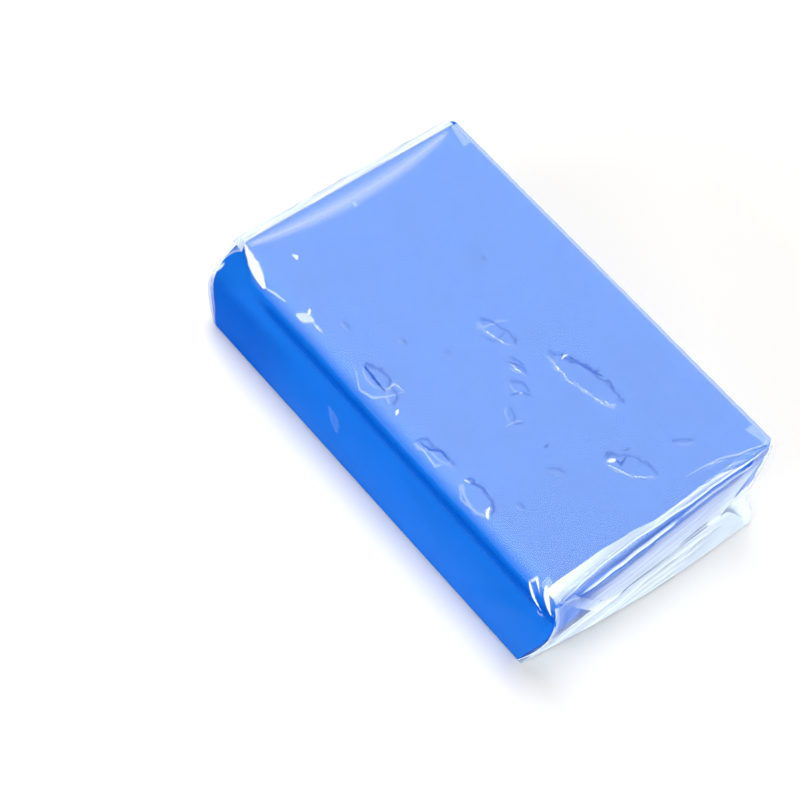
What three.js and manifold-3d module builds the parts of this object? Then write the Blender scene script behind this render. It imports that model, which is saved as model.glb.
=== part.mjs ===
// Clay bar in its folded film wrapper, in millimetres.
// +X runs along the bar to the end with the loose fold, +Y across it, +Z up.
// The origin is under the middle of the bar, on the face that it rests on.
//
// The wrapper is one sheet of clear film in the real object. Here it is divided at its
// fold lines, so that each fold is a panel of its own and the end folds can swing open.
import * as THREE from 'three';
import { mergeVertices } from 'three/addons/utils/BufferGeometryUtils.js';
import Module from 'manifold-3d';

const wasm = await Module();
wasm.setup();

// Driving dimensions
const WIDTH = 56.3; // over the film
const HEIGHT = 22.8; // over the film
const FILM = 0.3; // film thickness
const GAP = 0.3; // between the film and what it lies on
const CLAY_HALF_LENGTH = 42; // at the top and bottom edges, where the ends don't bulge
const NEAR_BULGE = 3; // how far the end at +X swells out past its edges
const FAR_BULGE = 3.9; // the same for the end at -X
const BULGE_PEAK = 0.63; // height of the widest point, as a share of the bar's height
const EDGE_RADIUS = 2.4; // the four long edges, over the film
const SLIT = 0.3; // between two panels that meet at a fold
const PANEL_END = 0.25; // how far a long panel stops short of an end flap
const LAP_WIDTH = 14; // where the two edges of the sheet overlap under the bar
const LIP_LEFT = 43; // x of the loose crease on the floor, at the left corner
const LIP_RIGHT = 48.3; // and at the right corner
const LIP_INSET = 2; // how far the crease ends before the corners
const LOOSE_FLAP_TOP = 45.9; // x of the loose lower flap's top edge
const DENT = {
  // where the pressed-in corner's plane meets the top face's two edges and the corner edge
  alongEnd: new THREE.Vector3(-42.5, -24.6, HEIGHT),
  alongSide: new THREE.Vector3(-34, -WIDTH / 2, HEIGHT),
  down: new THREE.Vector3(-45.3, -WIDTH / 2, 11.6),
};

// Worked out from them
const MIDDLE = HEIGHT / 2;
const CLEAR = 20; // long enough to reach past any part of the bar
const CLAY_INSET = FILM + GAP;
const FILM_OUTER_HALF = CLAY_HALF_LENGTH + CLAY_INSET;
const ARC_STEPS = 5;
const BULGE_STEPS = 12;

const clay = new THREE.MeshStandardMaterial({ color: 0x1166e6, roughness: 0.55, metalness: 0 });
const film = new THREE.MeshStandardMaterial({
  color: 0xcfe0ff,
  roughness: 0.1,
  metalness: 0,
  transparent: true,
  opacity: 0.35,
});

function toSolid(geometry) {
  const bare = geometry.clone();
  bare.deleteAttribute('normal');
  bare.deleteAttribute('uv');
  const merged = mergeVertices(bare, 1e-4);
  const vertProperties = new Float32Array(merged.attributes.position.array);
  const triVerts = new Uint32Array(merged.index.array);
  return new wasm.Manifold(new wasm.Mesh({ numProp: 3, vertProperties, triVerts }));
}

function fromSolid(solid) {
  const mesh = solid.getMesh();
  const geometry = new THREE.BufferGeometry();
  geometry.setAttribute('position', new THREE.BufferAttribute(mesh.vertProperties, 3));
  geometry.setIndex(new THREE.BufferAttribute(mesh.triVerts, 1));
  geometry.computeVertexNormals();
  return geometry;
}

// A (y, z) outline run along X from x0 to x1.
function prismAlongX(shape, x0, x1) {
  const options = { depth: x1 - x0, bevelEnabled: false, curveSegments: ARC_STEPS };
  const geometry = new THREE.ExtrudeGeometry(shape, options);
  const turn = new THREE.Matrix4().makeBasis(
    new THREE.Vector3(0, 1, 0),
    new THREE.Vector3(0, 0, 1),
    new THREE.Vector3(1, 0, 0),
  );
  geometry.applyMatrix4(turn);
  geometry.translate(x0, 0, 0);
  return toSolid(geometry);
}

// An (x, z) outline run along Y from -half to +half.
function prismAlongY(shape, half) {
  const geometry = new THREE.ExtrudeGeometry(shape, { depth: 2 * half, bevelEnabled: false });
  const turn = new THREE.Matrix4().makeBasis(
    new THREE.Vector3(1, 0, 0),
    new THREE.Vector3(0, 0, 1),
    new THREE.Vector3(0, -1, 0),
  );
  geometry.applyMatrix4(turn);
  geometry.translate(0, half, 0);
  return toSolid(geometry);
}

function polygon(points) {
  return new THREE.Shape(points.map(([x, y]) => new THREE.Vector2(x, y)));
}

// The bar's section across its length, moved in from the film's outer face by inset.
function sectionShape(inset) {
  const half = WIDTH / 2 - inset;
  const low = inset;
  const high = HEIGHT - inset;
  const radius = EDGE_RADIUS - inset;
  const shape = new THREE.Shape();
  shape.moveTo(-half + radius, low);
  shape.absarc(half - radius, low + radius, radius, -Math.PI / 2, 0, false);
  shape.absarc(half - radius, high - radius, radius, 0, Math.PI / 2, false);
  shape.absarc(-half + radius, high - radius, radius, Math.PI / 2, Math.PI, false);
  shape.absarc(-half + radius, low + radius, radius, Math.PI, 1.5 * Math.PI, false);
  return shape;
}

// How far an end stands out at a share of its height: a slow rise, then a round shoulder.
function bulgeAt(share) {
  if (share < BULGE_PEAK) {
    return Math.sin((Math.PI / 2) * (share / BULGE_PEAK));
  }
  const above = (share - BULGE_PEAK) / (1 - BULGE_PEAK);
  return Math.sqrt(Math.max(0, 1 - above * above));
}

// Points (x, z) up one end's face, from low to high.
function endFace(side, reach, bulge, low, high) {
  const points = [];
  for (let i = 0; i <= BULGE_STEPS; i += 1) {
    const share = 0.5 - 0.5 * Math.cos((Math.PI * i) / BULGE_STEPS);
    points.push([side * (reach + bulge * bulgeAt(share)), low + share * (high - low)]);
  }
  return points;
}

// The bar's outline from the side, with both ends swollen.
function sideShape(reach, low, high) {
  const near = endFace(1, reach, NEAR_BULGE, low, high);
  const far = endFace(-1, reach, FAR_BULGE, low, high).reverse();
  return polygon([...near, ...far]);
}

// Everything on the bar's side of the pressed-in corner's plane, set in by inset.
function keepBehindDent(solid, inset) {
  const plane = new THREE.Plane().setFromCoplanarPoints(DENT.alongEnd, DENT.alongSide, DENT.down);
  if (plane.distanceToPoint(new THREE.Vector3(0, 0, MIDDLE)) > 0) {
    plane.negate();
  }
  const block = new THREE.BoxGeometry(2 * CLEAR, 2 * CLEAR, CLEAR);
  block.translate(0, 0, CLEAR / 2);
  const towards = new THREE.Quaternion().setFromUnitVectors(new THREE.Vector3(0, 0, 1), plane.normal);
  block.applyQuaternion(towards);
  const start = DENT.alongSide.clone().addScaledVector(plane.normal, -inset);
  block.translate(start.x, start.y, start.z);
  return solid.subtract(toSolid(block));
}

// Mitred outlines across the bar's section, which meet at 45 degrees from its corners.
function mitre(name) {
  const slit = SLIT / 2;
  const outer = WIDTH / 2 + CLEAR;
  const inner = WIDTH / 2 - MIDDLE;
  const reach = MIDDLE + CLEAR;
  const shapes = {
    upper: [
      [-inner, MIDDLE + slit],
      [inner, MIDDLE + slit],
      [outer, MIDDLE + slit + reach],
      [-outer, MIDDLE + slit + reach],
    ],
    lower: [
      [-outer, MIDDLE - slit - reach],
      [outer, MIDDLE - slit - reach],
      [inner, MIDDLE - slit],
      [-inner, MIDDLE - slit],
    ],
    left: [
      [-inner - slit, MIDDLE],
      [-outer - slit, MIDDLE + reach],
      [-outer - slit, MIDDLE - reach],
    ],
    right: [
      [inner + slit, MIDDLE],
      [outer + slit, MIDDLE - reach],
      [outer + slit, MIDDLE + reach],
    ],
  };
  return polygon(shapes[name]);
}

const group = new THREE.Group();

function addPiece(name, solid, material) {
  const mesh = new THREE.Mesh(fromSolid(solid), material);
  mesh.name = name;
  group.add(mesh);
}

// The clay: a pressed block with swollen ends, one dented corner and the lap's imprint below.
function clayBar() {
  const length = CLAY_HALF_LENGTH + CLEAR;
  const across = prismAlongX(sectionShape(CLAY_INSET), -length, length);
  const outline = sideShape(CLAY_HALF_LENGTH, CLAY_INSET, HEIGHT - CLAY_INSET);
  const block = across.intersect(prismAlongY(outline, WIDTH));
  const imprint = new THREE.BoxGeometry(2 * length, LAP_WIDTH + 2 * GAP, 2 * CLAY_INSET);
  imprint.translate(0, 0, CLAY_INSET);
  return keepBehindDent(block, CLAY_INSET).subtract(toSolid(imprint));
}

// The film round the four long faces, before it is divided into panels.
function filmTube() {
  const length = FILM_OUTER_HALF + CLEAR;
  const reach = CLAY_HALF_LENGTH + GAP - PANEL_END;
  const square = new THREE.BoxGeometry(2 * reach, 2 * WIDTH, HEIGHT);
  square.translate(0, 0, MIDDLE);
  const outline = prismAlongY(sideShape(reach, FILM, HEIGHT - FILM), WIDTH).add(toSolid(square));
  const outer = prismAlongX(sectionShape(0), -length, length).intersect(outline);
  const inner = prismAlongX(sectionShape(FILM), -length, length);
  return keepBehindDent(outer, 0).subtract(keepBehindDent(inner, FILM));
}

// The film over one end, before it is divided into flaps.
function filmEnd(side, bulge) {
  const base = CLAY_HALF_LENGTH + GAP;
  const root = side * (base + PANEL_END / 2);
  const outerFace = endFace(side, base + FILM, bulge, 0, HEIGHT);
  const innerFace = endFace(side, base, bulge, FILM, HEIGHT - FILM);
  const outer = polygon([[root, 0], ...outerFace, [root, HEIGHT]]);
  const back = side * CLEAR;
  const inner = polygon([[back, FILM], ...innerFace, [back, HEIGHT - FILM]]);
  const plate = prismAlongY(outer, WIDTH).subtract(prismAlongY(inner, WIDTH));
  const across = prismAlongX(sectionShape(0), -FILM_OUTER_HALF - CLEAR, FILM_OUTER_HALF + CLEAR);
  return keepBehindDent(plate.intersect(across), 0);
}

function cutByMitre(solid, name) {
  const length = FILM_OUTER_HALF + CLEAR;
  return solid.intersect(prismAlongX(mitre(name), -length, length));
}

// x of the loose crease on the floor at a place across the bar.
function creaseAt(y) {
  return THREE.MathUtils.mapLinear(y, -WIDTH / 2, WIDTH / 2, LIP_LEFT, LIP_RIGHT);
}

// The loose lower flap: a sheet that twists from the slanting crease up to a straight top edge.
function looseLowerFlap() {
  const low = FILM + 0.05;
  const tall = MIDDLE - SLIT / 2 - low;
  const geometry = new THREE.BoxGeometry(FILM, WIDTH - 2 * LIP_INSET, tall, 1, 16, 4);
  geometry.translate(FILM / 2, 0, low + tall / 2);
  const points = geometry.attributes.position;
  for (let i = 0; i < points.count; i += 1) {
    const share = (points.getZ(i) - low) / tall;
    const x = THREE.MathUtils.lerp(creaseAt(points.getY(i)), LOOSE_FLAP_TOP, share);
    points.setX(i, points.getX(i) + x);
  }
  return cutByMitre(toSolid(geometry), 'lower');
}

// The strip of film on the floor between the bar's bottom edge and the loose crease.
function bottomLip() {
  const half = WIDTH / 2 - LIP_INSET;
  const start = FILM_OUTER_HALF - PANEL_END / 2;
  const outline = polygon([
    [start, -half],
    [creaseAt(-half) - SLIT / 2, -half],
    [creaseAt(half) - SLIT / 2, half],
    [start, half],
  ]);
  return toSolid(new THREE.ExtrudeGeometry(outline, { depth: FILM, bevelEnabled: false }));
}

addPiece('clay_bar', clayBar(), clay);

const tube = filmTube();
addPiece('film_top_panel', cutByMitre(tube, 'upper'), film);
addPiece('film_bottom_panel', cutByMitre(tube, 'lower'), film);
addPiece('film_left_panel', cutByMitre(tube, 'left'), film);
addPiece('film_right_panel', cutByMitre(tube, 'right'), film);

const lap = new THREE.BoxGeometry(2 * CLAY_HALF_LENGTH, LAP_WIDTH, FILM);
lap.translate(0, 0, CLAY_INSET + FILM / 2);
addPiece('film_lap_strip', toSolid(lap), film);

const nearEnd = filmEnd(1, NEAR_BULGE);
addPiece('near_upper_flap', cutByMitre(nearEnd, 'upper'), film);
addPiece('near_lower_flap', looseLowerFlap(), film);
addPiece('near_left_tuck', cutByMitre(nearEnd, 'left'), film);
addPiece('near_right_tuck', cutByMitre(nearEnd, 'right'), film);
addPiece('near_bottom_lip', bottomLip(), film);

const farEnd = filmEnd(-1, FAR_BULGE);
for (const [name, outline] of [
  ['far_upper_flap', 'upper'],
  ['far_lower_flap', 'lower'],
  ['far_left_tuck', 'left'],
  ['far_right_tuck', 'right'],
]) {
  addPiece(name, cutByMitre(farEnd, outline), film);
}

export default group;
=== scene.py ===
"""The looks of a clay bar in its folded film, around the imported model. Lengths are millimetres."""
import math

import bpy
from mathutils import Matrix, Vector, noise


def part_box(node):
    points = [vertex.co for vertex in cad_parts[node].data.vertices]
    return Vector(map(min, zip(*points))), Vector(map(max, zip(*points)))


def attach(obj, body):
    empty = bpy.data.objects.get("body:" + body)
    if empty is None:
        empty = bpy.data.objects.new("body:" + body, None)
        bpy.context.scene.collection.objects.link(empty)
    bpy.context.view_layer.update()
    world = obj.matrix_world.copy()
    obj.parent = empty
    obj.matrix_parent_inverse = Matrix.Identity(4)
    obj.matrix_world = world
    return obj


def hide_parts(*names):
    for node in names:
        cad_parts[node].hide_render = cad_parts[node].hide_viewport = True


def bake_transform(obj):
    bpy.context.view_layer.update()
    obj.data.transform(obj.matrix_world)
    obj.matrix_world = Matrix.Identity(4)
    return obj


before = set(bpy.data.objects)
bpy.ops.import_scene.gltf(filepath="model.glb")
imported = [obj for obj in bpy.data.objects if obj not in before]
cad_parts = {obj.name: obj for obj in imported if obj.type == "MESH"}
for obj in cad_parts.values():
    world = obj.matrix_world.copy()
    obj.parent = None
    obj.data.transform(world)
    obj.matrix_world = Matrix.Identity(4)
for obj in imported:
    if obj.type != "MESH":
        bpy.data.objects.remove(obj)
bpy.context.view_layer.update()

MM = 0.001


def node_box(name):
    low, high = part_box(name)
    return Vector(low) / MM, Vector(high) / MM


# ---------------------------------------------------------------- sizes, from the frame
TOP = node_box("film_top_panel")[1].z
MIDDLE = TOP / 2
HALF_WIDTH = node_box("film_right_panel")[1].y
NEAR_ROOT = node_box("near_upper_flap")[0].x
FAR_ROOT = node_box("far_upper_flap")[1].x
LIP_LOW, LIP_HIGH = node_box("near_bottom_lip")
NEAR_BULGE = node_box("near_left_tuck")[1].x - NEAR_ROOT
FAR_BULGE = FAR_ROOT - node_box("far_left_tuck")[0].x
BULGE_PEAK = 0.63
CLAY_INSET = 0.1  # from the film's face to the clay under it

# The long edges' rounding by side and height: reach along the face, reach down, and squareness
SQUARE_EDGE = (0.3, 0.3, 2.0)
SOFT_EDGE = (4.0, 4.0, 2.0)
LAP = 7.0  # half of the film's overlap under the bar
LAP_SHARE = LAP / HALF_WIDTH

# The pressed-in corner, as three points of its plane on the film
DENT_POINTS = (
    Vector((-42.5, -24.6, TOP)),
    Vector((-34.0, -HALF_WIDTH, TOP)),
    Vector((-45.3, -HALF_WIDTH, 11.6)),
)


# ---------------------------------------------------------------- small helpers
def clamp(x, low=0.0, high=1.0):
    return max(low, min(high, x))


def smooth(x, low=0.0, high=1.0):
    t = clamp((x - low) / (high - low))
    return t * t * (3 - 2 * t)


def lerp(a, b, t):
    return a + (b - a) * t


def along(points, x):
    """The height of a line through (x, y) points, level past both ends."""
    if x <= points[0][0]:
        return points[0][1]
    for (x0, y0), (x1, y1) in zip(points, points[1:]):
        if x <= x1:
            return lerp(y0, y1, smooth(x, x0, x1))
    return points[-1][1]


def bump_shape(distance, width):
    return math.exp(-((distance / width) ** 2))


def soft_positive(x, width):
    """x where it is well above 0, 0 where it is well below, with a round turn between."""
    if x > 20 * width:
        return x
    return width * math.log1p(math.exp(x / width))


def spline(points, t):
    """A Catmull-Rom curve through points, at t from 0 to 1."""
    last = len(points) - 1
    place = clamp(t) * last
    i = min(int(place), last - 1)
    f = place - i
    a, b, c, d = (points[clamp(k, 0, last)] for k in (i - 1, i, i + 1, i + 2))
    return tuple(
        0.5 * (2 * q + (r - p) * f + (2 * p - 5 * q + 4 * r - s) * f**2 + (3 * q - p - 3 * r + s) * f**3)
        for p, q, r, s in zip(a, b, c, d)
    )


def wave(x, y=0.0, z=0.0, scale=1.0):
    """Smooth noise from about -1 to 1."""
    return noise.noise(Vector((x / scale, y / scale, z / scale)))


def bulge_at(height):
    """How far an end is swollen at a height above the floor, as a share of the most."""
    share = clamp(height / TOP)
    if share < BULGE_PEAK:
        return math.sin(math.pi / 2 * share / BULGE_PEAK)
    above = (share - BULGE_PEAK) / (1 - BULGE_PEAK)
    return math.sqrt(1 - above * above)


def mesh_object(name, points, faces, material, milk_and_painted_light=None):
    mesh = bpy.data.meshes.new(name)
    mesh.from_pydata([tuple(p * MM for p in point) for point in points], [], faces)
    mesh.shade_smooth()
    mesh.update()
    # The per-point attribute holds the film's milkiness together with painted highlights above 0 and
    # painted shade below 0.
    if milk_and_painted_light is not None:
        layer = mesh.attributes.new("milk_and_painted_light", "FLOAT", "POINT")
        layer.data.foreach_set("value", milk_and_painted_light)
    obj = bpy.data.objects.new(name, mesh)
    bpy.context.collection.objects.link(obj)
    mesh.materials.append(material)
    return obj


def sheet_object(name, rows, material):
    """A sheet from rows of (point, milkiness with painted highlights and painted shade), all of one
    length.
    """
    wide = len(rows[0])
    points = [point for row in rows for point, _ in row]
    milk_and_painted_light = [value for row in rows for _, value in row]
    faces = [
        (i * wide + j, i * wide + j + 1, (i + 1) * wide + j + 1, (i + 1) * wide + j)
        for i in range(len(rows) - 1)
        for j in range(wide - 1)
    ]
    return mesh_object(name, points, faces, material, milk_and_painted_light)


# ---------------------------------------------------------------- the pressed-in corner
def dent_plane():
    a, b, c = DENT_POINTS
    normal = (b - a).cross(c - a).normalized()
    if normal.dot(Vector((0, 0, MIDDLE)) - a) > 0:
        normal = -normal
    return a, normal


DENT_START, DENT_NORMAL = dent_plane()


def press_corner(point, inset, width):
    """Moves a point that is past the pressed-in corner's plane back to it."""
    past = DENT_NORMAL.dot(point - DENT_START) + inset
    return point - DENT_NORMAL * soft_positive(past, width)


# ---------------------------------------------------------------- the section
def edge_at(side, height):
    return SOFT_EDGE if side < 0 < height else SQUARE_EDGE


def section_point(v, w, half_y, half_z):
    """The rounded section's outline, towards the point (v, w) on a square's edge."""
    y, z = v * half_y, w * half_z
    reach, depth, power = edge_at(v, w)
    core_y = clamp(y, reach - half_y, half_y - reach)
    core_z = clamp(z, depth - half_z, half_z - depth)
    out_y, out_z = y - core_y, z - core_z
    size = (abs(out_y) / reach) ** power + (abs(out_z) / depth) ** power
    if size == 0:
        return Vector((y, z))
    return Vector((core_y, core_z)) + Vector((out_y, out_z)) / size ** (1 / power)


def shoulder_drop(y):
    """How far below the top the film's face is at y, on the soft edge at the left."""
    reach, depth, power = SOFT_EDGE
    past = reach - (y + HALF_WIDTH)
    if past <= 0:
        return 0.0
    return depth * (1 - max(0.0, 1 - (past / reach) ** power) ** (1 / power))


# ---------------------------------------------------------------- materials
# The milky film's colour, its blue tint painted light standing in for the clay's blue light picked up by
# the film.
MILK_COLOR_WITH_PAINTED_BOUNCE = (0.80, 0.90, 1.0, 1)
# The flat dark blue laid on as painted shade where the attribute is below 0.
PAINTED_SHADE_COLOR = (0.0005, 0.098, 0.58, 1)
GRAZING_REFLECT = 0.1  # the film's reflection at a grazing angle


def new_material(name):
    material = bpy.data.materials.new(name)
    material.use_nodes = True
    tree = material.node_tree
    tree.nodes.clear()
    out = tree.nodes.new("ShaderNodeOutputMaterial")
    return material, tree, out


def add(tree, kind, **values):
    node = tree.nodes.new(kind)
    for key, value in values.items():
        if key in node.inputs:
            node.inputs[key].default_value = value
        else:
            setattr(node, key, value)
    return node


def remap(tree, low, high, to_low, to_high):
    node = add(tree, "ShaderNodeMapRange")
    values = {"From Min": low, "From Max": high, "To Min": to_low, "To Max": to_high}
    for key, value in values.items():
        node.inputs[key].default_value = value
    return node


def clay_material():
    material, tree, out = new_material("clay")
    link = tree.links.new
    shader = add(tree, "ShaderNodeBsdfPrincipled", Roughness=0.6)
    shader.inputs["Specular IOR Level"].default_value = 0.06
    where = add(tree, "ShaderNodeTexCoord")
    cloud = add(tree, "ShaderNodeTexNoise", Scale=90.0, Detail=4.0)
    ramp = add(tree, "ShaderNodeValToRGB")
    ramp.color_ramp.elements[0].position = 0.3
    ramp.color_ramp.elements[0].color = (0.0010, 0.130, 0.58, 1)
    ramp.color_ramp.elements[1].position = 0.7
    ramp.color_ramp.elements[1].color = (0.0020, 0.144, 0.645, 1)
    grain = add(tree, "ShaderNodeTexNoise", Scale=2600.0, Detail=3.0)
    bump = add(tree, "ShaderNodeBump", Strength=0.12, Distance=0.0001)
    link(where.outputs["Object"], cloud.inputs["Vector"])
    link(where.outputs["Object"], grain.inputs["Vector"])
    link(cloud.outputs["Fac"], ramp.inputs["Fac"])
    link(ramp.outputs["Color"], shader.inputs["Base Color"])
    link(grain.outputs["Fac"], bump.inputs["Height"])
    link(bump.outputs["Normal"], shader.inputs["Normal"])
    link(shader.outputs["BSDF"], out.inputs["Surface"])
    return material


def film_material(name, reflect, roughness, crinkle):
    """Clear film, glossier towards grazing. Its mesh attribute is above 0 where the film is milky at its
    creases and where highlights are painted in milky white, and below 0 where painted shade in flat dark
    blue, with the gloss taken away, stands in for dark reflections."""
    material, tree, out = new_material(name)
    link = tree.links.new
    where = add(tree, "ShaderNodeTexCoord")
    fine = add(tree, "ShaderNodeTexNoise", Scale=420.0, Detail=3.0)
    bump = add(tree, "ShaderNodeBump", Strength=crinkle, Distance=0.0002)
    facing = add(tree, "ShaderNodeLayerWeight", Blend=0.5)
    fifth = add(tree, "ShaderNodeMath", operation="POWER")
    fifth.inputs[1].default_value = 5.0
    schlick = remap(tree, 0.0, 1.0, reflect, GRAZING_REFLECT)
    clear = add(tree, "ShaderNodeBsdfTransparent", Color=(0.98, 0.985, 1.0, 1))
    face = add(tree, "ShaderNodeBsdfDiffuse", Color=MILK_COLOR_WITH_PAINTED_BOUNCE)
    through = add(tree, "ShaderNodeBsdfTranslucent", Color=MILK_COLOR_WITH_PAINTED_BOUNCE)
    milk_and_painted_light = add(tree, "ShaderNodeMixShader", Fac=0.12)
    gloss = add(tree, "ShaderNodeBsdfGlossy", Color=(1, 1, 1, 1), Roughness=roughness)
    # The attribute: milkiness and painted highlights above 0, painted shade below 0.
    milk_and_painted_light_in = add(tree, "ShaderNodeAttribute", attribute_name="milk_and_painted_light")
    # Below 0 the gloss is taken away, and the painted shade colour is laid on through the next nodes.
    dull = remap(tree, -1.0, 0.0, 0.0, 1.0)
    folded = remap(tree, -1.0, 0.0, 1.0, 0.0)
    dark = add(tree, "ShaderNodeBsdfDiffuse", Color=PAINTED_SHADE_COLOR)
    folds = add(tree, "ShaderNodeMixShader")
    shine = add(tree, "ShaderNodeMath", operation="MULTIPLY")
    body = add(tree, "ShaderNodeMixShader")
    film = add(tree, "ShaderNodeMixShader")
    link(where.outputs["Object"], fine.inputs["Vector"])
    link(fine.outputs["Fac"], bump.inputs["Height"])
    link(bump.outputs["Normal"], gloss.inputs["Normal"])
    link(facing.outputs["Facing"], fifth.inputs[0])
    link(fifth.outputs["Value"], schlick.inputs["Value"])
    link(face.outputs["BSDF"], milk_and_painted_light.inputs[1])
    link(through.outputs["BSDF"], milk_and_painted_light.inputs[2])
    link(milk_and_painted_light_in.outputs["Fac"], body.inputs["Fac"])
    link(clear.outputs["BSDF"], body.inputs[1])
    link(milk_and_painted_light.outputs["Shader"], body.inputs[2])
    link(milk_and_painted_light_in.outputs["Fac"], dull.inputs["Value"])
    link(schlick.outputs["Result"], shine.inputs[0])
    link(dull.outputs["Result"], shine.inputs[1])
    link(shine.outputs["Value"], film.inputs["Fac"])
    link(milk_and_painted_light_in.outputs["Fac"], folded.inputs["Value"])
    link(folded.outputs["Result"], folds.inputs["Fac"])
    link(body.outputs["Shader"], folds.inputs[1])
    link(dark.outputs["BSDF"], folds.inputs[2])
    link(folds.outputs["Shader"], film.inputs[1])
    link(gloss.outputs["BSDF"], film.inputs[2])
    link(film.outputs["Shader"], out.inputs["Surface"])
    return material


def floor_material():
    material, tree, out = new_material("floor")
    shader = add(tree, "ShaderNodeBsdfDiffuse", Color=(0.94, 0.925, 0.895, 1))
    tree.links.new(shader.outputs["BSDF"], out.inputs["Surface"])
    return material


# ---------------------------------------------------------------- the clay
CLAY_END_RADIUS = 0.6
CLAY_END_GAP = 0.75  # between an end's clay and the tucks over it
CLAY_SINK = 0.08  # the unit of how far the top's clay lies below the film and its air pockets
SWELL_START = 0.86  # where the swelling of an end starts, as a share of the half length

# How far the near end's clay stands past the root, by height, all but at the left corner
NEAR_FACE = ((0.0, 0.0), (4.0, 1.0), (10.0, 1.7), (15.0, 1.3), (19.0, 0.5), (22.8, -0.15))
NEAR_MIDDLE = 0.9  # how much further it stands out between the tucks
CORNER_OUT = 0.6  # how much further out the near end's top edge is at the right corner


def corner_out(y):
    return CORNER_OUT * smooth(y, 10, 24)


def spread(count):
    """Places from -1 to 1, closer together towards both ends."""
    even = (2 * i / count - 1 for i in range(count + 1))
    return [lerp(t, math.sin(math.pi / 2 * t), 0.55) for t in even]


def clay_point(u, v, w):
    half_x = NEAR_ROOT - CLAY_INSET
    half_y = HALF_WIDTH - CLAY_INSET
    half_z = MIDDLE - CLAY_INSET
    size = max(abs(v), abs(w))
    edge = section_point(v / size, w / size, half_y, half_z) if size else Vector((half_y, 0))
    ahead = half_x * (1 - abs(u))
    inward = (1 - size) * edge.length
    radius = CLAY_END_RADIUS
    core = Vector((max(ahead, radius), max(inward, radius)))
    out = Vector((ahead, inward)) - core
    if out.length > 0:
        ahead, inward = core + out.normalized() * radius
    y, z = edge * (1 - inward / edge.length)
    z += MIDDLE
    swell = (NEAR_BULGE if u > 0 else FAR_BULGE) * bulge_at(z)
    swell -= CLAY_END_GAP * smooth(z, 0, 5) * smooth(TOP - z, 0, 3)
    if u > 0:
        face = along(NEAR_FACE, z) + corner_out(y) * smooth(z, 14, 20)
        face += NEAR_MIDDLE * smooth(16 - abs(y), 0, 5) * math.sin(math.pi * clamp(z / TOP))
        swell = lerp(swell, face, smooth(y, -HALF_WIDTH, -HALF_WIDTH + 4.5))
    x = math.copysign(half_x - ahead + swell * smooth(abs(u), SWELL_START, 1.0), u)
    sink = CLAY_SINK * (1.8 + 0.8 * wave(x, y, 0.0, 16))
    z -= sink * smooth(z, 15, TOP) * smooth(HALF_WIDTH - y, -1.5, 4)
    return press_corner(Vector((x, y, z)), 0.3, 0.35)


def clay_block(material):
    counts = (84, 60, 30)
    lines = [spread(n) for n in counts]
    index, points, faces = {}, [], []

    def corner(place):
        if place not in index:
            index[place] = len(points)
            points.append(clay_point(*(lines[k][place[k]] for k in range(3))))
        return index[place]

    for axis in range(3):
        a, b = (axis + 1) % 3, (axis + 2) % 3
        for end in (0, counts[axis]):
            for i in range(counts[a]):
                for j in range(counts[b]):
                    loop = []
                    for di, dj in ((0, 0), (1, 0), (1, 1), (0, 1)):
                        place = [0, 0, 0]
                        place[axis], place[a], place[b] = end, i + di, j + dj
                        loop.append(corner(tuple(place)))
                    faces.append(tuple(loop if end else reversed(loop)))
    block = mesh_object("clay_block", points, faces, material)
    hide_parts("clay_bar")
    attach(block, "wrapped_bar")


# ---------------------------------------------------------------- film round the long faces
NEAR_FOLD = 38.4  # on the top face, where the film of the near end's fold begins
FAR_FOLD = -37.6
BAND_HALF = 25.6  # the folds' half width on the top face
LIP_LEFT = 43.2  # x of the loose crease on the floor, at the left
LIP_BOW = 1.2  # how far it bows out in the middle
FAN_FROM = -34.0  # x of the pressed-in corner, where the left side's folds fan out

# Air pockets under the top film: centre x and y, half length, half width, turn in degrees, depth
POCKETS = (
    (-7.6, -23.4, 2.9, 1.6, 8, 1.0),
    (-3.4, -23.6, 1.5, 0.8, -40, 0.8),
    (14.2, 8.0, 6.8, 2.4, 14, 1.0),
    (-2.6, 1.2, 3.7, 1.4, 14, 0.7),
    (4.8, -0.6, 1.9, 1.0, 0, 0.7),
    (8.6, -3.4, 1.9, 1.1, 20, 0.7),
    (11.6, -8.9, 1.5, 0.8, -30, 0.6),
    (7.4, -25.4, 1.6, 0.9, 25, 0.9),
    (11.0, -24.6, 2.2, 0.9, 10, 0.8),
    (20.4, -25.0, 3.9, 1.7, -6, 1.0),
    (31.6, 2.0, 4.2, 2.1, 35, 0.8),
    (24.5, -10.0, 1.2, 0.6, 40, 0.5),
    (-19.0, -21.0, 0.7, 0.5, 0, 0.6),
    (-16.0, 10.0, 0.6, 0.4, 0, 0.6),
    (33.5, 13.5, 1.4, 0.5, 60, 0.6),
    (-10.6, -14.6, 0.5, 0.4, 0, 0.7),
    (-4.4, -9.6, 0.5, 0.4, 30, 0.6),
    (26.0, -20.0, 0.7, 0.5, 10, 0.5),
)
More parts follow.
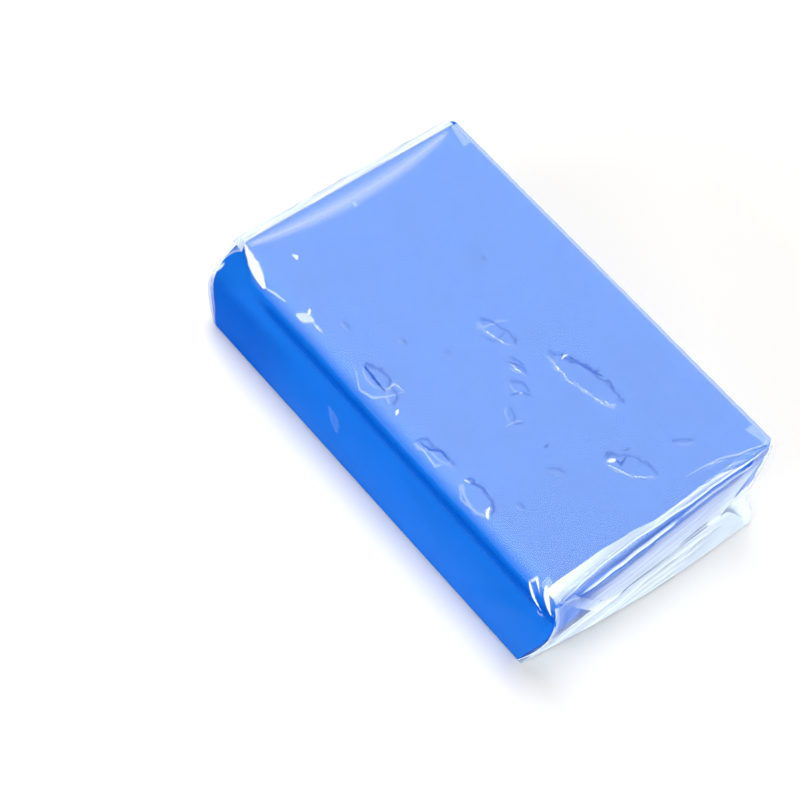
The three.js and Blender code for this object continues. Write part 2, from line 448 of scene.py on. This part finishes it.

# Small creases in the film, with painted highlights and painted shade along them: points (on the top
# face where they have no z), half width, milkiness (a painted highlight; below 0 a painted dark line of
# shade) and lift
MARKS = (
    # along the pressed-in corner: painted highlights on its crease
    (((-42.5, -25.2), (-39.4, -25.9), (-36.5, -26.5), (-33.9, -27.1)), 0.95, 1.0, 0.2),
    (((-33.9, -27.1), (-31.4, -26.6), (-29.0, -26.3)), 0.24, 0.4, 0.05),
    (
        ((-43.3, -25.6, 22.6), (-44.4, -27.0, 19.5), (-45.5, -28.1, 15.2), (-46.2, -28.1, 12.6)),
        0.42,
        0.85,
        0.15,
    ),
    # the flake beside it, painted highlights
    (((-25.6, -26.3), (-23.0, -25.1)), 0.95, 0.5, 0.06),
    (((-25.1, -24.0), (-24.4, -24.9)), 0.28, 0.95, 0.08),
    (((-22.6, -25.3), (-20.2, -25.3)), 0.26, 0.4, 0.05),
    # the top face's left edge: painted highlights and painted dark lines of shade round air pockets
    (((-10.8, -23.7), (-8.3, -23.8), (-4.8, -24.1)), 0.26, -0.8, -0.05),
    (((-11.1, -25.3), (-7.8, -27.0), (-5.0, -26.4), (-3.7, -24.7), (-2.7, -21.4)), 0.24, 0.25, 0.04),
    (((-4.6, -24.0), (-4.9, -21.7), (-2.8, -21.3)), 0.20, 0.35, 0.04),
    (((-0.6, -24.6), (0.0, -25.5)), 0.26, 0.9, 0.08),
    (((6.3, -25.7), (8.6, -25.3), (10.0, -23.9), (12.1, -24.0)), 0.24, -0.7, -0.05),
    (((7.2, -26.1), (11.4, -26.5), (12.5, -24.3)), 0.22, 0.25, 0.04),
    (((16.8, -24.3), (19.3, -22.9), (21.1, -23.0)), 0.24, -0.5, -0.05),
    (((16.4, -24.6), (17.4, -24.0)), 0.20, 0.6, 0.06),
    (((17.0, -25.9), (18.8, -27.0), (22.3, -26.6), (24.2, -26.0)), 0.20, 0.2, 0.04),
    (((22.9, -24.4), (23.4, -25.4), (24.2, -26.0)), 0.30, 0.95, 0.10),
    # the middle of the top face: painted highlights and painted shade round air pockets and creases
    (((-35.9, -19.1), (-35.2, -18.7), (-34.7, -19.0)), 0.40, 0.75, 0.08),
    (((-38.8, -1.9), (-37.9, -1.9)), 0.32, 0.5, 0.06),
    (((-5.2, -1.5), (-4.6, 0.5), (-4.3, 2.9), (-3.3, 4.5)), 0.24, 0.18, 0.03),
    (((-4.4, -2.2), (-1.3, -0.6), (-2.0, 3.4)), 0.22, -0.2, -0.03),
    (((2.8, -1.8), (4.3, -0.6), (6.0, 0.0)), 0.24, -0.4, -0.04),
    (((4.1, -2.4), (5.5, -1.8), (6.9, -0.6)), 0.20, 0.15, 0.03),
    (((8.6, -5.9), (9.2, -4.0), (10.8, -2.9)), 0.24, -0.35, -0.04),
    (((12.9, -11.0), (13.0, -8.9), (13.8, -7.7)), 0.24, 0.2, 0.04),
    (((8.2, 7.3), (8.2, 8.7)), 0.24, 0.85, 0.08),
    (((8.2, 8.6), (11.8, 9.7), (15.5, 11.0)), 0.28, -0.6, -0.05),
    (((28.4, -0.8), (28.9, 0.7)), 0.42, 0.85, 0.10),
    (((28.9, 0.7), (30.2, 0.8), (29.6, 2.8)), 0.24, -0.5, -0.04),
    (((13.3, -9.6), (14.1, -7.6)), 0.24, -0.3, -0.04),
    (((28.6, 3.1), (28.9, 4.6)), 0.22, -0.3, -0.04),
    (((19.8, -8.4), (19.9, -7.3)), 0.26, -0.35, -0.04),
    # a faint pale patch on the left side
    (((-11.6, -28.15, 12.0), (-10.0, -28.15, 10.5), (-8.8, -28.15, 8.0)), 1.3, 0.06, 0.0),
    # the curls at the near end's left corner, with painted highlights
    (((36.9, -27.6, 20.9), (39.0, -28.0, 19.6), (41.3, -28.1, 18.5)), 0.34, 1.0, 0.25),
    (((36.9, -27.6, 20.9), (37.3, -26.6, 22.0), (39.5, -27.5, 20.8)), 0.24, 0.8, 0.12),
    (((39.5, -26.5, 22.1), (40.6, -27.2, 21.3), (43.0, -28.0, 19.8)), 0.48, 1.0, 0.30),
    (((40.7, -28.1, 17.6), (41.4, -28.1, 17.2), (43.7, -28.0, 20.0)), 0.22, 0.5, 0.08),
)


def mark_pieces():
    """The marks cut into straight pieces, each with the span of x that it can reach."""
    pieces = []
    for points, width, white, height in MARKS:
        last = len(points) - 1
        for i in range(last):
            a, b = (
                Vector(place) if len(place) == 3 else Vector((*place, TOP - shoulder_drop(place[1])))
                for place in points[i : i + 2]
            )
            reach = (min(a.x, b.x) - 3 * width, max(a.x, b.x) + 3 * width)
            pieces.append((reach, a, b - a, i / last, 1 / last, width, white, height))
    return pieces


MARK_PIECES = mark_pieces()


def strongest(a, b):
    return a if abs(a) > abs(b) else b


def mark_at(point):
    """The painted highlights and shade, and the lift, that the small marks give the film at a point."""
    milk_and_painted_light = lift = 0.0
    for (low, high), start, run, begin, part, width, white, height in MARK_PIECES:
        if not low < point.x < high:
            continue
        t = clamp((point - start).dot(run) / run.length_squared)
        distance = (point - start - run * t).length
        if distance > 3 * width:
            continue
        taper = math.sin(math.pi * lerp(0.12, 0.88, begin + part * t))
        edge = distance / (width * taper)
        # Above 0 a painted highlight, below 0 a painted dark line of shade.
        milk_and_painted_light = strongest(milk_and_painted_light, white * smooth(1.25 - edge, 0.0, 0.6))
        lift = strongest(lift, height * taper * bump_shape(edge, 1.0))
    return milk_and_painted_light, lift


def pocket_at(x, y):
    """The top film's painted light and lift over its air pockets: it sinks in them, and their rims get a
    painted highlight on the left and painted shade on the right."""
    milk_and_painted_light = lift = 0.0
    for cx, cy, length, width, turn, depth in POCKETS:
        if max(abs(x - cx), abs(y - cy)) > length + 2.5:
            continue
        angle = math.radians(turn)
        dx, dy = x - cx, y - cy
        lengthwise = dx * math.cos(angle) + dy * math.sin(angle)
        sideways = -dx * math.sin(angle) + dy * math.cos(angle)
        ragged = 1 + 0.30 * wave(x, y, cx, 1.9) + 0.16 * wave(x, y, cy, 0.8)
        away = (math.hypot(lengthwise / length, sideways / width) * ragged - 1) * min(length, width)
        lift += depth * (0.03 * bump_shape(away, 0.3) - 0.15 * smooth(-away, -0.15, 0.45))
        # A painted highlight on the rims' left side, painted shade on their right.
        rim = bump_shape(away, 0.22) * depth
        milk_and_painted_light = strongest(milk_and_painted_light, rim * lerp(0.20, -0.45, smooth(sideways / width, -0.5, 0.5)))
    return milk_and_painted_light, lift


def section_path():
    """Samples round the bar's section, from the lap's inner edge: y, z and the outward normal."""
    half_y, half_z = HALF_WIDTH, MIDDLE - 0.01
    corners = ((LAP_SHARE, -1), (1, -1), (1, 1), (-1, 1), (-1, -1), (LAP_SHARE, -1))
    steps = (34, 40, 260, 70, 36)
    starts = [(-LAP_SHARE, -1)] + list(corners[1:-1])
    outline = []
    for (v0, w0), (v1, w1), count in zip(starts, corners[1:], steps):
        for i in range(count):
            t = i / count
            outline.append(section_point(lerp(v0, v1, t), lerp(w0, w1, t), half_y, half_z))
    outline.append(section_point(LAP_SHARE, -1, half_y, half_z))
    samples = []
    last = len(outline) - 1
    for i, place in enumerate(outline):
        run = outline[min(i + 1, last)] - outline[max(i - 1, 0)]
        normal = Vector((run.y, -run.x)).normalized()
        samples.append((place.x, place.y + MIDDLE, normal.x, normal.y))
    return samples


def side_shade(x, z):
    """The painted shade on the left side: along a line under its soft edge, and towards the far end."""
    line = 0.75 * bump_shape(z - 18.7, 1.0) * smooth(x, -36, -28)
    return max(line, 0.35 * smooth(-18 - x, 0, 16) * smooth(16 - z, 0, 6))


def side_lift(x, z):
    """Soft folds in the film of the left side, which fan out from the pressed-in corner."""
    down = TOP - z
    span = x - FAN_FROM
    angle = math.atan2(down, max(span, -30.0))
    fade = math.exp(-((span / 34) ** 2)) * smooth(math.hypot(span, down), 2.0, 9.0)
    lift = 0.16 * fade * math.sin(5.0 * angle + 3.0) * smooth(span, -9, 5)
    near = x - NEAR_ROOT + 5.0
    lift += 0.14 * bump_shape(near + 0.8 * (down - 9), 2.8) * smooth(down, 4, 11)
    crown = 0.35 * math.sin(math.pi * clamp(z / (TOP - 3)))
    return lift + crown + 0.03 * wave(x, z, 3.0, 13)


def crease_at(y):
    """x of the loose crease on the floor, across the near end."""
    t = (y - LIP_LOW.y) / (LIP_HIGH.y - LIP_LOW.y)
    return lerp(LIP_LEFT, LIP_HIGH.x, t) + LIP_BOW * math.sin(math.pi * clamp(t))


def sleeve_end(y, z, ny, nz, near):
    """x where the film on a long face ends, at a place round the section."""
    if nz < -0.9:
        return crease_at(y) if near else FAR_ROOT + 0.2
    swell = ((NEAR_BULGE if near else FAR_BULGE) - 0.3) * bulge_at(z)
    if near and y > 0:
        swell *= 0.66
    root = NEAR_ROOT if near else -FAR_ROOT
    end = root + 0.1 + swell * smooth(abs(ny), 0.2, 0.95)
    if near:
        end += corner_out(y)
    if nz > 0.5:
        start = NEAR_FOLD if near else -FAR_FOLD
        end = lerp(start, end, smooth(abs(y), BAND_HALF - 0.8, BAND_HALF + 0.8))
    return end if near else -end


def sleeve_face(point, ny, nz, over):
    """The milkiness, with painted highlights and painted shade, and lift of the film at a point on a
    long face.
    over says that it is on the half of the section's path that starts with the lap's inner layer."""
    x, y, z = point
    milk_and_painted_light, lift = (0.0, 0.0) if nz < 0 else mark_at(point)
    lift += 0.02 * wave(x, y, z, 6)
    if nz > 0.5:
        pocket_painted_light, pocket_lift = pocket_at(x, y)
        # A painted highlight along the top face's right edge.
        rim = 0.4 * bump_shape(HALF_WIDTH - 0.8 - y, 0.35)
        milk_and_painted_light = strongest(strongest(milk_and_painted_light, pocket_painted_light), rim)
        lift += pocket_lift + 0.012 * wave(x, y, 9.0, 1.6)
        lift += 0.05 * (wave(x, y, 5.0, 22) - 0.4)
    elif ny < -0.7:
        lift += side_lift(x, z) * smooth(z, 0.5, 4) * smooth(TOP - z, 5, 8)
        # Painted shade on the left side, laid on as the dark blue.
        milk_and_painted_light = strongest(milk_and_painted_light, -side_shade(x, z))
    elif nz < -0.7:
        lift = -0.3 * smooth(LAP + 2.0 - y, 0, 1.6) if over else 0.0
        lift -= 0.3 * smooth(x, NEAR_ROOT, NEAR_ROOT + 1) * (1 + wave(x, y / 5, 0, 1.4))
        milk_and_painted_light = 0.8 * smooth(x, NEAR_ROOT - 1.5, NEAR_ROOT)
    return milk_and_painted_light, lift


def film_sleeve(material):
    rows = []
    path = section_path()
    count = 340
    for i in range(count + 1):
        t = i / count
        row = []
        for k, (y, z, ny, nz) in enumerate(path):
            x = lerp(sleeve_end(y, z, ny, nz, False), sleeve_end(y, z, ny, nz, True), t)
            point = Vector((x, y, z))
            milk_and_painted_light, lift = sleeve_face(point, ny, nz, over=k < len(path) // 2)
            point += Vector((0, ny, nz)) * lift
            row.append((press_corner(point, 0.03, 0.25), milk_and_painted_light))
        rows.append(row)
    sleeve = sheet_object("film_sleeve", rows, material)
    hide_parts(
        "film_top_panel",
        "film_bottom_panel",
        "film_left_panel",
        "film_right_panel",
        "film_lap_strip",
        "near_bottom_lip",
    )
    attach(sleeve, "wrapped_bar")


# ---------------------------------------------------------------- the near end's folds
def fall(x, z):
    """How far out and down on the near end a place is. The creases there run along it."""
    return 5.5 * (x - NEAR_ROOT) + 1.05 * (TOP - z)


# Creases that run across the near end, each with a painted highlight along it: (y, fall) points, half
# width in fall, milkiness of the painted highlight, lift
STREAKS = (
    (
        (
            *((-28, 6.5), (-24, 3.0), (-20, 0.5), (-14, -1.2), (-8, -1.0)),
            *((0, 1.0), (8, 3.0), (16, 2.5), (27, 1.8)),
        ),
        0.8,
        0.9,
        0.18,
    ),
    (((-21.6, 9.2), (-16, 8.9), (-8, 8.6), (3.5, 8.2)), 1.25, 1.0, 0.40),
    (((3, 8.0), (12, 7.2), (18, 6.6), (23, 6.6)), 0.9, 0.55, 0.22),
    (((-26, 5.0), (-24, 7.5), (-21.5, 10.5)), 0.7, 0.35, 0.12),
    (((-20, 20.0), (-8, 21.0), (6, 18.5), (14, 17.0)), 0.7, 0.75, 0.14),
    (((-12, 25.0), (0, 24.0), (10, 23.0)), 0.6, 0.8, 0.12),
    (((-27, 31.8), (-22, 31.0), (-14, 30.4), (-8, 31.0)), 0.9, 0.95, 0.25),
    (
        ((-21, 40.0), (-16, 37.8), (-8, 36.6), (2, 34.6), (10, 34.8), (18, 36.2), (21, 36.4)),
        1.15,
        1.0,
        0.42,
    ),
    (((-24, 43.0), (-12, 40.5), (0, 39.6), (12, 41.5), (18, 42.0)), 0.9, 0.95, 0.25),
    (((-10, 44.0), (2, 44.0), (12, 45.5)), 1.0, 0.95, 0.2),
    (((12, 29.6), (14.2, 29.2), (16.0, 29.0)), 1.1, 1.0, 0.45),
    (((8, -20.0), (11, -19.0), (15.6, -15.5), (20.8, -8.0), (27, -1.5)), 0.9, 0.28, 0.16),
)

# Grooves between them: (y, fall) points, half width in fall, how clear the film is, depth
GROOVES = (
    (((-20, 11.8), (-10, 12.6), (2, 12.0), (12, 11.2), (20, 10.0)), 1.4, 0.6, 0.18),
    (((-18, 14.5), (-12, 15.5), (-6, 14.6), (0, 13.5)), 1.1, 0.45, 0.10),
    (((4.6, 29.2), (9.5, 28.6), (13.6, 29.2)), 1.0, 0.6, 0.2),
    (((-14, 33.6), (0, 32.6), (14, 33.6)), 0.5, 0.4, 0.2),
    (((-22, 40.2), (-14, 39.4), (-8, 39.0)), 0.7, 0.6, 0.2),
    (((-7, 38.2), (2, 37.4), (9, 38.6)), 0.9, 0.55, 0.2),
    (((10, 40.6), (16, 39.0), (20, 39.4)), 0.8, 0.55, 0.2),
    (((-28, 24.0), (-25, 27.5), (-21, 29.0)), 1.0, 0.4, 0.1),
    (((12, -14.0), (16, -12.0), (21, -5.0), (27, 0.0)), 1.4, 0.9, 0.14),
)

# Where the white band under the fold's top edge begins, as (y, fall), and its milkiness across it: the
# band is a painted highlight
BAND_START = (
    (-27.0, -14.5),
    (-15.5, -13.2),
    (-8.0, -10.0),
    (-1.3, -4.6),
    (7.0, -4.2),
    (14.3, -3.0),
    (19.0, 1.0),
)
BAND_END = (8.5, 4.8)  # the fall where it ends, at the left and the right
BAND_PAINTED_HIGHLIGHT = ((0.0, 0.0), (0.06, 0.95), (0.34, 0.85), (0.5, 0.5), (0.75, 0.3), (1.0, 0.12))

# The milkiness from there down, as (fall, milkiness), at the left and the right
MILK_LEFT = ((8.5, 0.12), (11, 0.14), (14, 0.3), (18, 0.55), (28, 0.68), (31, 0.7), (60, 0.7))
MILK_RIGHT = ((4.8, 0.12), (8, 0.2), (11, 0.38), (15, 0.55), (27, 0.65), (33, 0.7), (60, 0.7))


def streak_shape(points, width, y, place):
    """How much of a crease shows at a place: 1 on its line, 0 away from it or past its ends."""
    begin, end = points[0][0], points[-1][0]
    if not begin <= y <= end:
        return 0.0
    taper = math.sin(math.pi * lerp(0.06, 0.94, (y - begin) / (end - begin))) ** 0.6
    wander = 0.5 * wave(y, points[0][1], 0, 3.1) * width
    return bump_shape((place - along(points, y) - wander), width * taper) * smooth(taper, 0.3, 0.7)


def near_pattern(y, place):
    """The near end's milkiness and lift, at y and a fall, with the painted highlights of its white band
    and streaks.
    """
    share = smooth(y, -20, 16)
    fibre = wave(y / 11, place * 1.1, 4.0) * 0.6 + wave(y / 7, place * 2.6, 8.0) * 0.4
    band = along(BAND_START, y)
    band_end = lerp(*BAND_END, share)
    if place < band_end:
        # The white band is a painted highlight, fading towards the right.
        milk_and_painted_light = along(BAND_PAINTED_HIGHLIGHT, (place - band) / (band_end - band))
        milk_and_painted_light *= lerp(1.0, 0.55, smooth(y, -25, -6))
    else:
        milk_and_painted_light = lerp(along(MILK_LEFT, place), along(MILK_RIGHT, place), share)
        milk_and_painted_light *= lerp(0.6, 1.0, max(smooth(y, -22, -12), smooth(place, 16, 22)))
    milk_and_painted_light *= 1 - 0.85 * smooth(y, 17, 21) * smooth(8 - place, 0, 4)
    milk_and_painted_light = clamp(milk_and_painted_light * (1 + 0.30 * fibre))
    lift = 0.07 * fibre
    for points, width, clear, depth in GROOVES:
        shape = streak_shape(points, width, y, place)
        milk_and_painted_light *= 1 - clear * shape
        lift -= depth * shape
    # Painted highlights along the creases.
    for points, width, white, height in STREAKS:
        shape = streak_shape(points, width, y, place)
        milk_and_painted_light = lerp(milk_and_painted_light, white, shape)
        lift += height * shape
    return milk_and_painted_light, lift


# The near upper flap from the top face to its free edge: x, and how far below the top
NEAR_UPPER = (
    (NEAR_FOLD, 0.0),
    (40.3, 0.0),
    (41.8, 0.05),
    (42.7, 0.6),
    (43.3, 2.1),
    (44.0, 4.5),
    (44.8, 7.0),
    (45.4, 9.4),
    (45.8, 11.35),
)


def flap_half(drop):
    """The flap's half width: over the whole top face, and mitred below its fold."""
    return lerp(BAND_HALF + 1.3, HALF_WIDTH - 0.5 - drop, smooth(drop, 0.0, 1.0))


def near_upper_flap(material):
    rows = []
    tall, wide = 170, 220
    for i in range(tall + 1):
        t = i / tall
        x, drop = spline(NEAR_UPPER, t)
        ahead, behind = spline(NEAR_UPPER, t + 0.01), spline(NEAR_UPPER, t - 0.01)
        run, sink = ahead[0] - behind[0], ahead[1] - behind[1]
        size = math.hypot(run, sink)
        row = []
        for j in range(wide + 1):
            across = 2 * j / wide - 1
            y = across * flap_half(drop)
            milk_and_painted_light, lift = near_pattern(y, fall(x, TOP - drop))
            free = smooth(t, 0.0, 0.12)
            z = TOP - math.hypot(drop, shoulder_drop(y))
            mark_painted_light, mark_lift = mark_at(Vector((x, y, z)))
            lift = lift * free + 0.02 + mark_lift
            out = x + corner_out(y) * smooth(x, 39, 42) * smooth(8 - drop, 0, 6)
            point = Vector((out + lift * sink / size, y, z + lift * run / size))
            row.append((point, strongest(milk_and_painted_light * smooth(t, 0.0, 0.06), mark_painted_light)))
        rows.append(row)
    flap = sheet_object("near_upper_film", rows, material)
    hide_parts("near_upper_flap")
    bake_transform(flap)


LOOSE_TOP = 45.9  # x of the lower flap's free edge
HOLLOW = 1.3  # how far the flap sinks in between there and the floor
ON_TUCK = 0.75  # how far its left part is pressed in, on to the tuck


def near_lower_flap(material):
    rows = []
    tall, wide = 100, 220
    for i in range(tall + 1):
        t = i / tall
        z = 0.2 + t * (MIDDLE - 0.3)
        row = []
        for j in range(wide + 1):
            across = 2 * j / wide - 1
            y = across * (HALF_WIDTH - 0.2 - 0.95 * z)
            x = lerp(crease_at(y), LOOSE_TOP, t**1.1)
            x -= HOLLOW * math.sin(math.pi * t) * smooth(y, -25, 12)
            x -= ON_TUCK * smooth(-y, 9, 16) * smooth(t, 0, 0.35)
            milk_and_painted_light, lift = near_pattern(y, fall(x, z))
            milk_and_painted_light = max(milk_and_painted_light, 0.65 * smooth(4.0 - z, 0, 3))
            lift *= smooth(t, 0.0, 0.12)
            row.append((Vector((x + lift, y, z)), milk_and_painted_light))
        rows.append(row)
    flap = sheet_object("near_lower_film", rows, material)
    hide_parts("near_lower_flap")
    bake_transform(flap)


# How far out the near right tuck stands at the side, by height: it spreads along the floor
NEAR_RIGHT_EDGE = (
    (0.3, 5.9),
    (2.2, 5.3),
    (4.5, 3.7),
    (7.5, 2.4),
    (12.3, 2.1),
    (17.8, 1.8),
    (20.5, 1.5),
    (22.1, 0.9),
)


def tuck(name, node, side, hand, material, white, seed, edge=None):
    """The film of a long side, turned in over an end. side is 1 near, hand is -1 at the left.
    edge is how far it stands out past the root by height, where it isn't the end's own bulge."""
    rows = []
    tall, wide = 90, 56
    bulge = NEAR_BULGE if side > 0 else FAR_BULGE
    root = NEAR_ROOT if side > 0 else -FAR_ROOT
    for i in range(tall + 1):
        z = lerp(0.3, TOP - 0.7, i / tall)
        reach = max(0.3, min(z + 4.0 * smooth(z, 0, 2), MIDDLE + 2.0, TOP - z + 4.0))
        swell = along(edge, z) if edge else (bulge - 0.05) * bulge_at(z)
        row = []
        for j in range(wide + 1):
            inward = reach * j / wide
            face = root - 0.1 + lerp(swell, min(swell, bulge * bulge_at(z)), smooth(inward, 1, 6))
            x = face - 0.35 * math.exp(-inward / 0.35) - 0.15 * smooth(inward, 1, 8)
            fibre = wave(inward / 1.4, z / 7, seed)
            x += 0.12 * fibre * smooth(inward, 0.3, 2.0)
            y = hand * (HALF_WIDTH - 0.04 - inward)
            rim = bump_shape(inward, 0.5) * 0.35
            point = press_corner(Vector((side * x, y, z)), 0.0, 0.25)
            milk_and_painted_light = clamp(white * (1 + 0.5 * fibre) + rim + 0.45 * smooth(11 - z, 0, 6))
            row.append((point, strongest(milk_and_painted_light, mark_at(point)[0])))
        rows.append(row)
    piece = sheet_object(name, rows, material)
    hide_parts(node)
    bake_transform(piece)


# ---------------------------------------------------------------- the far end's folds
# From the top face to the upper flap's free edge, and from the floor to the lower one's: how far
# from the middle of the bar, and how far below the top
FAR_UPPER = (
    (-FAR_FOLD, 0.0),
    (40.5, 0.0),
    (42.6, 0.05),
    (44.3, 0.5),
    (45.4, 2.6),
    (46.2, 6.0),
    (46.4, 9.0),
    (46.2, 11.35),
)
FAR_LOWER = ((42.5, 22.7), (43.6, 20.6), (44.8, 17.6), (45.6, 14.6), (45.9, 11.7))


def far_pattern(y, out, drop, seed):
    """The far folds' milkiness and lift, with a pale band that is a painted reflection: out is how far
    past the root, drop how far down.
    """
    fibre = 0.6 * wave(y / 9, out * 1.2 + drop * 1.3, seed)
    fibre += 0.4 * wave(y / 6, drop * 3 - out * 2, seed)
    ridge = max(0.0, 1 - abs(wave(y / 14, out * 0.5 + drop * 0.7, seed + 9)) * 6)
    milk_and_painted_light = 0.62 * smooth(out, 0.15, 0.6) * (1 + 0.35 * fibre + 0.5 * ridge)
    lift = (0.10 * fibre + 0.18 * ridge) * smooth(out, 0.0, 1.0)
    # A pale band near the fold's top edge, a painted reflection.
    span = clamp(1 - (y / 25.5) ** 2)
    pale = -0.4 - 2.3 * span
    milk_and_painted_light += 0.3 * bump_shape(out - pale, 0.4 + 1.0 * span) * smooth(span, 0.0, 0.2)
    return clamp(milk_and_painted_light), lift


def far_flap(name, node, profile, material, seed):
    rows = []
    tall, wide = 110, 170
    for i in range(tall + 1):
        t = i / tall
        x, drop = spline(profile, t)
        ahead, behind = spline(profile, t + 0.01), spline(profile, t - 0.01)
        run, sink = ahead[0] - behind[0], ahead[1] - behind[1]
        size = math.hypot(run, sink)
        row = []
        for j in range(wide + 1):
            across = 2 * j / wide - 1
            from_fold = drop if drop < MIDDLE + 0.1 else TOP - drop
            y = across * flap_half(from_fold)
            milk_and_painted_light, lift = far_pattern(y, x + FAR_ROOT, drop, seed)
            z = TOP - (math.hypot(drop, shoulder_drop(y)) if drop < MIDDLE else drop)
            mark_painted_light, mark_lift = mark_at(Vector((-x, y, z)))
            lift += mark_lift
            z += (1 if sink > 0 else -1) * lift * run / size
            point = Vector((-x - abs(sink) * lift / size, y, z))
            row.append((press_corner(point, 0.0, 0.25), strongest(milk_and_painted_light, mark_painted_light)))
        rows.append(row)
    piece = sheet_object(name, rows, material)
    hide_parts(node)
    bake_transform(piece)
    return piece


def far_flaps(material):
    upper = far_flap(
        "far_upper_film",
        "far_upper_flap",
        FAR_UPPER,
        material,
        5.3,
    )
    lower = far_flap(
        "far_lower_film",
        "far_lower_flap",
        FAR_LOWER,
        material,
        9.4,
    )


# ---------------------------------------------------------------- floor, lights and camera
AIM = Vector((-5.88, -16.38, 11.39))
CAMERA_AZIMUTH = 31.14
CAMERA_ELEVATION = 55.38
CAMERA_ROLL = 20.77
CAMERA_DISTANCE = 358.0
LENS = 90.0

GLOW_AIM = (211, 55)  # azimuth and elevation of the broad glow that the top face mirrors
GLOW = 6.4
GLOW_BELOW = 0.4
FLOOR_REACH = 320


def direction(azimuth, elevation):
    a, e = math.radians(azimuth), math.radians(elevation)
    return Vector((math.sin(a) * math.cos(e), -math.cos(a) * math.cos(e), math.sin(e)))


def make_camera():
    data = bpy.data.cameras.new("camera")
    data.lens = LENS
    data.sensor_width = 36.0
    data.clip_start = 0.01
    camera = bpy.data.objects.new("camera", data)
    bpy.context.collection.objects.link(camera)
    back = direction(CAMERA_AZIMUTH, CAMERA_ELEVATION)
    level = (-back).cross(Vector((0, 0, 1))).normalized()
    upright = level.cross(-back)
    roll = math.radians(CAMERA_ROLL)
    right = level * math.cos(roll) + upright * math.sin(roll)
    up = upright * math.cos(roll) - level * math.sin(roll)
    turn = Matrix((right, up, back)).transposed().to_4x4()
    camera.matrix_world = Matrix.Translation((AIM + back * CAMERA_DISTANCE) * MM) @ turn
    bpy.context.scene.camera = camera


def softbox(name, azimuth, elevation, distance, size, radiance, mirrored):
    """A rectangular lamp that faces the bar, and either lights it or is mirrored in its film.
    radiance is how bright it looks, 1 being paper white."""
    data = bpy.data.lights.new(name, "AREA")
    data.shape = "RECTANGLE"
    data.size, data.size_y = (s * MM for s in size)
    data.energy = radiance * math.pi * data.size * data.size_y
    lamp = bpy.data.objects.new(name, data)
    lamp.visible_camera = False
    lamp.visible_glossy = mirrored
    lamp.visible_diffuse = not mirrored
    bpy.context.collection.objects.link(lamp)
    toward = direction(azimuth, elevation)
    turn = toward.to_track_quat("Z", "Y").to_matrix().to_4x4()
    lamp.matrix_world = Matrix.Translation((Vector((0, 0, MIDDLE)) + toward * distance) * MM) @ turn


def make_world():
    """A surround that is white to the camera, dim as a light, and in the film's gloss a broad glow
    overhead and a faint one underneath."""
    world = bpy.data.worlds.new("studio")
    bpy.context.scene.world = world
    world.use_nodes = True
    tree = world.node_tree
    link = tree.links.new
    ambient = tree.nodes["Background"]
    ambient.inputs["Color"].default_value = (1, 1, 1, 1)
    ambient.inputs["Strength"].default_value = 0.06
    white = add(tree, "ShaderNodeBackground", Strength=1.0)
    glow = add(tree, "ShaderNodeBackground", Color=(0.98, 1.06, 0.95, 1))
    where = add(tree, "ShaderNodeTexCoord")
    height = add(tree, "ShaderNodeSeparateXYZ")
    nearness = add(tree, "ShaderNodeVectorMath", operation="DOT_PRODUCT")
    nearness.inputs[1].default_value = direction(*GLOW_AIM)
    above = remap(tree, -0.85, 0.80, 0.0, GLOW)
    above.interpolation_type = "SMOOTHSTEP"
    below = remap(tree, -0.80, -0.90, 0.0, GLOW_BELOW)
    horizon = remap(tree, -0.25, 0.10, 0.0, 1.0)
    horizon.interpolation_type = "SMOOTHSTEP"
    overhead = add(tree, "ShaderNodeMath", operation="MULTIPLY")
    both = add(tree, "ShaderNodeMath", operation="ADD")
    path = add(tree, "ShaderNodeLightPath")
    glossy = add(tree, "ShaderNodeMixShader")
    seen = add(tree, "ShaderNodeMixShader")
    link(where.outputs["Generated"], nearness.inputs[0])
    link(where.outputs["Generated"], height.inputs["Vector"])
    link(nearness.outputs["Value"], above.inputs["Value"])
    link(height.outputs["Z"], below.inputs["Value"])
    link(height.outputs["Z"], horizon.inputs["Value"])
    link(above.outputs["Result"], overhead.inputs[0])
    link(horizon.outputs["Result"], overhead.inputs[1])
    link(overhead.outputs["Value"], both.inputs[0])
    link(below.outputs["Result"], both.inputs[1])
    link(both.outputs["Value"], glow.inputs["Strength"])
    link(path.outputs["Is Glossy Ray"], glossy.inputs["Fac"])
    link(ambient.outputs["Background"], glossy.inputs[1])
    link(glow.outputs["Background"], glossy.inputs[2])
    link(path.outputs["Is Camera Ray"], seen.inputs["Fac"])
    link(glossy.outputs["Shader"], seen.inputs[1])
    link(white.outputs["Background"], seen.inputs[2])
    link(seen.outputs["Shader"], tree.nodes["World Output"].inputs["Surface"])


def make_studio():
    make_world()
    softbox("key_light", 250, 62, 700, (380, 380), 6.0, mirrored=False)
    softbox("top_fill", 235, 84, 700, (300, 300), 8.0, mirrored=False)
    softbox("side_fill", -8, 14, 900, (700, 320), 8.0, mirrored=False)
    softbox("end_fill", 75, 8, 900, (600, 320), 13.0, mirrored=False)
    softbox("edge_strip", 147, 50, 650, (240, 50), 18.0, mirrored=True)
    softbox("back_strip", 197, 32, 700, (300, 60), 15.0, mirrored=True)
    corners = [
        Vector((x * FLOOR_REACH, y * FLOOR_REACH, 0)) for x, y in ((-1, -1), (1, -1), (1, 1), (-1, 1))
    ]
    floor = mesh_object("floor", corners, [(0, 1, 2, 3)], floor_material())
    floor.visible_glossy = False
    bpy.context.scene.view_settings.view_transform = "Standard"


make_camera()
make_studio()
clay = clay_material()
film = film_material("film", reflect=0.035, roughness=0.07, crinkle=0.06)

clay_block(clay)
film_sleeve(film)
near_upper_flap(film)
near_lower_flap(film)
tuck("near_left_film", "near_left_tuck", 1, -1, film, 0.25, 1.4)
tuck("near_right_film", "near_right_tuck", 1, 1, film, 0.3, 2.6, NEAR_RIGHT_EDGE)
far_flaps(film)
tuck("far_left_film", "far_left_tuck", -1, -1, film, 0.1, 4.1)
tuck("far_right_film", "far_right_tuck", -1, 1, film, 0.1, 6.3)
